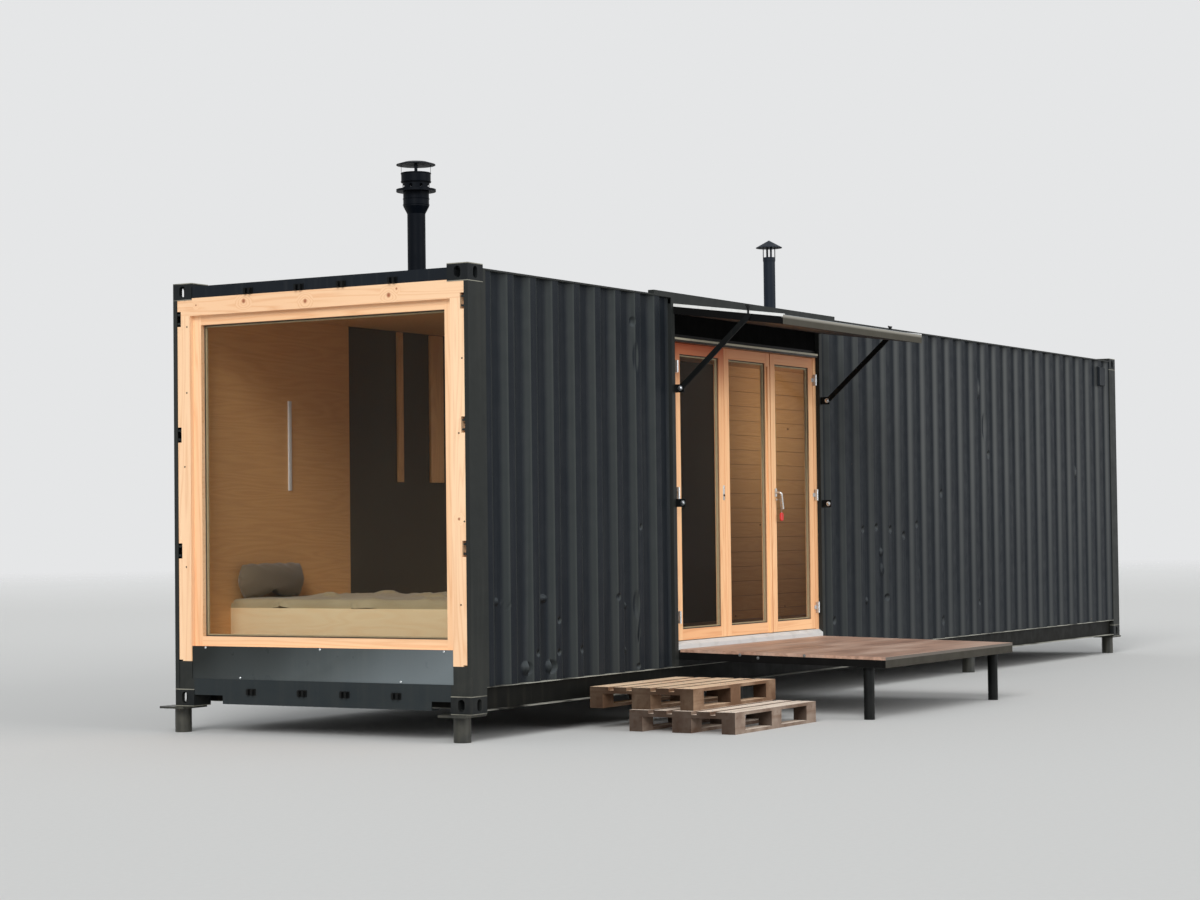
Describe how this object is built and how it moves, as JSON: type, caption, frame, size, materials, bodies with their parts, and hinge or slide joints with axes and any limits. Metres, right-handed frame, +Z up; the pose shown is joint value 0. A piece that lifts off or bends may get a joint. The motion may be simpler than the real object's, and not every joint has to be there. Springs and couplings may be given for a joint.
{
  "type": "shipping container cabin",
  "caption": "Long dark corrugated container fitted out as a cabin, with a glazed end wall, a three-leaf glazed entrance, a propped canopy, a deck, pallet steps and roof pipes.",
  "frame": {"origin": "on the ground, under the middle of the bounding box", "axes": "+X from the window end to the blind end, +Y from the entrance side to the back, +Z up"},
  "size_m": [12.322, 4.155, 4.136],
  "materials": {
    "container_paint": "satin anthracite paint, weathered",
    "dark_steel": "black-grey painted steel",
    "galvanised_steel": "bright zinc plating",
    "sheet_trim": "folded painted sheet",
    "sill_metal": "brushed, slightly stained",
    "pine": "planed pine with clear finish",
    "door_pine": "pine with an orange-brown stain",
    "lining_board": "plywood",
    "floor_build_up": "boarded and insulated floor",
    "deck_board": "brown film-faced plywood",
    "pallet_wood": "rough sawn, weathered",
    "bedding": "woven, creased",
    "pane": "clear",
    "black_panel": "matt black",
    "flue_paint": "matt dark grey stove paint"
  },
  "bodies": {
    "cabin": {"upper_castings": "container_paint", "lower_castings": "container_paint", "corner_posts": "container_paint", "end_headers": "container_paint", "end_sills": "container_paint", "bar_keepers": "container_paint", "top_side_rails": "container_paint", "bottom_side_rails": "container_paint", "front_wall_left": "container_paint", "front_wall_right": "container_paint", "back_wall": "container_paint", "blind_end_wall": "container_paint", "roof_panel": "container_paint", "cross_members": "container_paint", "floor_boards": "floor_build_up", "insulated_floor": "floor_build_up", "front_wall_linings": "lining_board", "back_wall_lining": "lining_board", "blind_end_lining": "lining_board", "ceiling": "lining_board", "bed_platform": "lining_board", "mattress": "bedding", "pillow": "bedding", "opening_posts": "container_paint", "opening_header": "container_paint", "opening_sill_beam": "dark_steel", "lintel_panel": "black_panel", "door_frame": "door_pine", "door_sill": "sill_metal", "drip_strip": "sheet_trim", "folding_leaves": "door_pine", "folding_leaf_glass": "pane", "folding_hinges": "galvanised_steel", "frame_hinges": "galvanised_steel", "canopy_frame": "dark_steel", "canopy_top_sheet": "sheet_trim", "canopy_soffit": "deck_board", "canopy_struts": "dark_steel", "strut_brackets": "dark_steel", "deck_frame": "dark_steel", "deck_panel": "deck_board", "deck_legs": "dark_steel", "lower_pallet": "pallet_wood", "upper_pallet": "pallet_wood", "window_frame": "pine", "window_sash": "pine", "window_glass": "pane", "window_upstand": "pine", "window_apron": "sheet_trim", "screw_piles": "galvanised_steel", "flue_pipe": "flue_paint", "flue_cowl": "flue_paint", "vent_pipe": "flue_paint", "vent_cap": "flue_paint", "wall_vents": "container_paint"},
    "entrance_door": {"entrance_leaf": "door_pine", "entrance_leaf_glass": "pane", "leaf_hinges": "galvanised_steel", "entrance_handle": "galvanised_steel"}
  },
  "joints": [
    {"name": "entrance_leaf_hinge", "type": "hinge", "parent": "cabin", "child": "entrance_door", "pos_m": [-1.032, -0.4355, 1.58], "axis": [0, 0, 1], "range_deg": [0, 90]}
  ]
}
